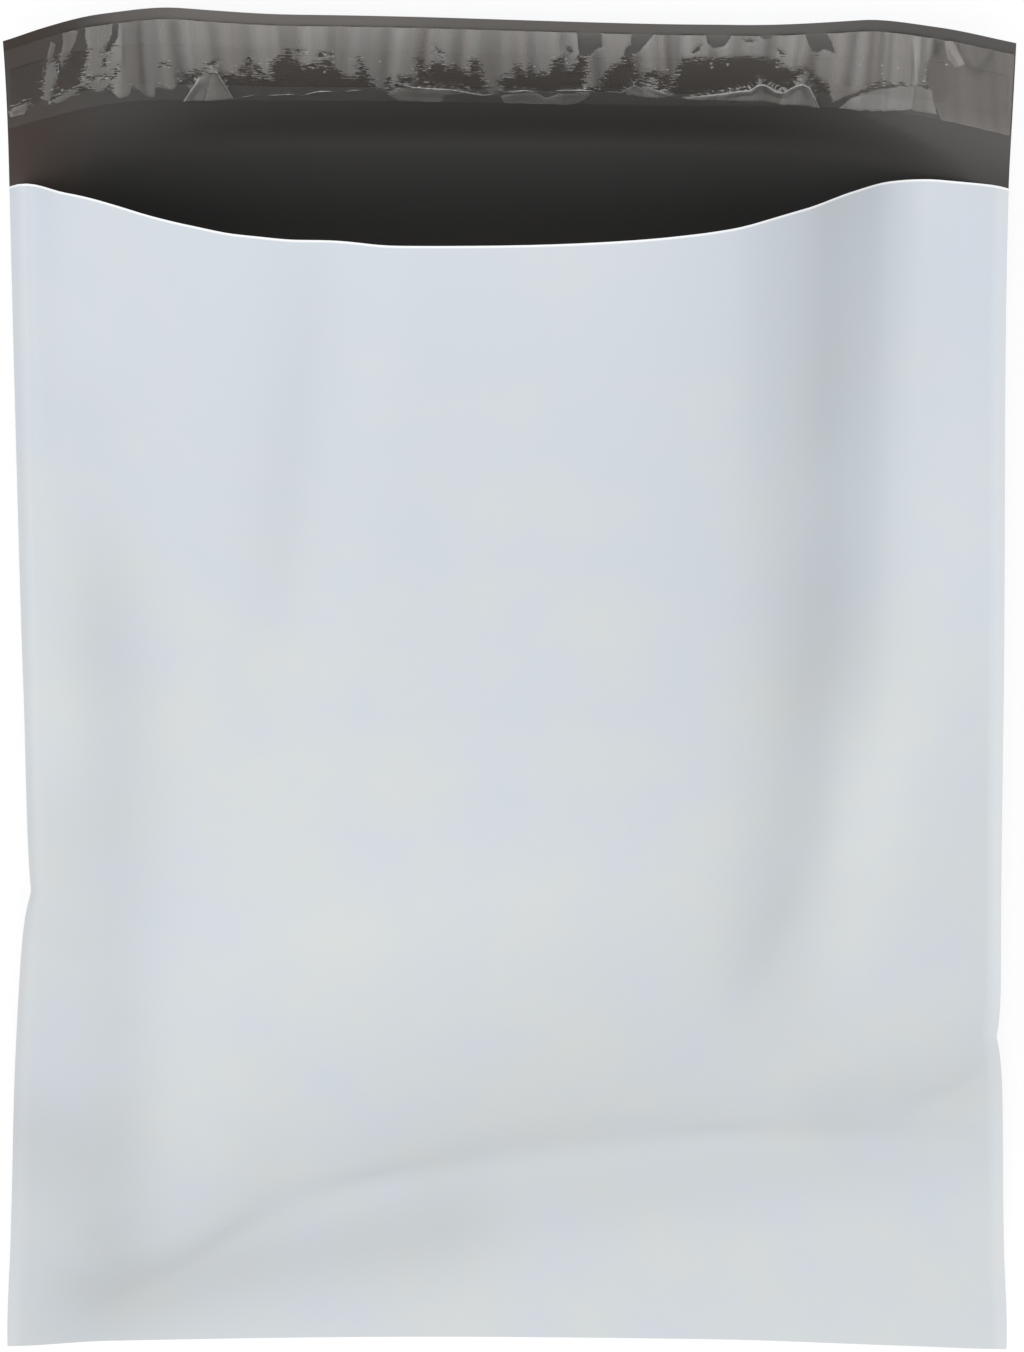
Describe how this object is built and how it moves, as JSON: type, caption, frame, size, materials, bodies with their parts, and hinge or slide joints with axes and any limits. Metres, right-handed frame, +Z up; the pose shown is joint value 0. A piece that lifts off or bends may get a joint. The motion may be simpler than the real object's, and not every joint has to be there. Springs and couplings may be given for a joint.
{
  "type": "poly mailer bag",
  "caption": "Open plastic mailer bag, pale grey outside and dark inside, with a peel-off liner over the glue strip on its flap.",
  "frame": {"origin": "middle of the bag's footprint, on the surface it lies on", "axes": "+Y from the bottom fold towards the flap, +X to the right seen from above, +Z up out of the front panel"},
  "size_m": [0.368, 0.5146, 0.0786],
  "materials": {
    "poly_film": "satin",
    "hot_melt_glue": "gloss",
    "liner_film": "gloss"
  },
  "bodies": {
    "root": {"bag_film": "poly_film", "adhesive_strip": "hot_melt_glue", "release_liner": "liner_film"}
  },
  "joints": []
}
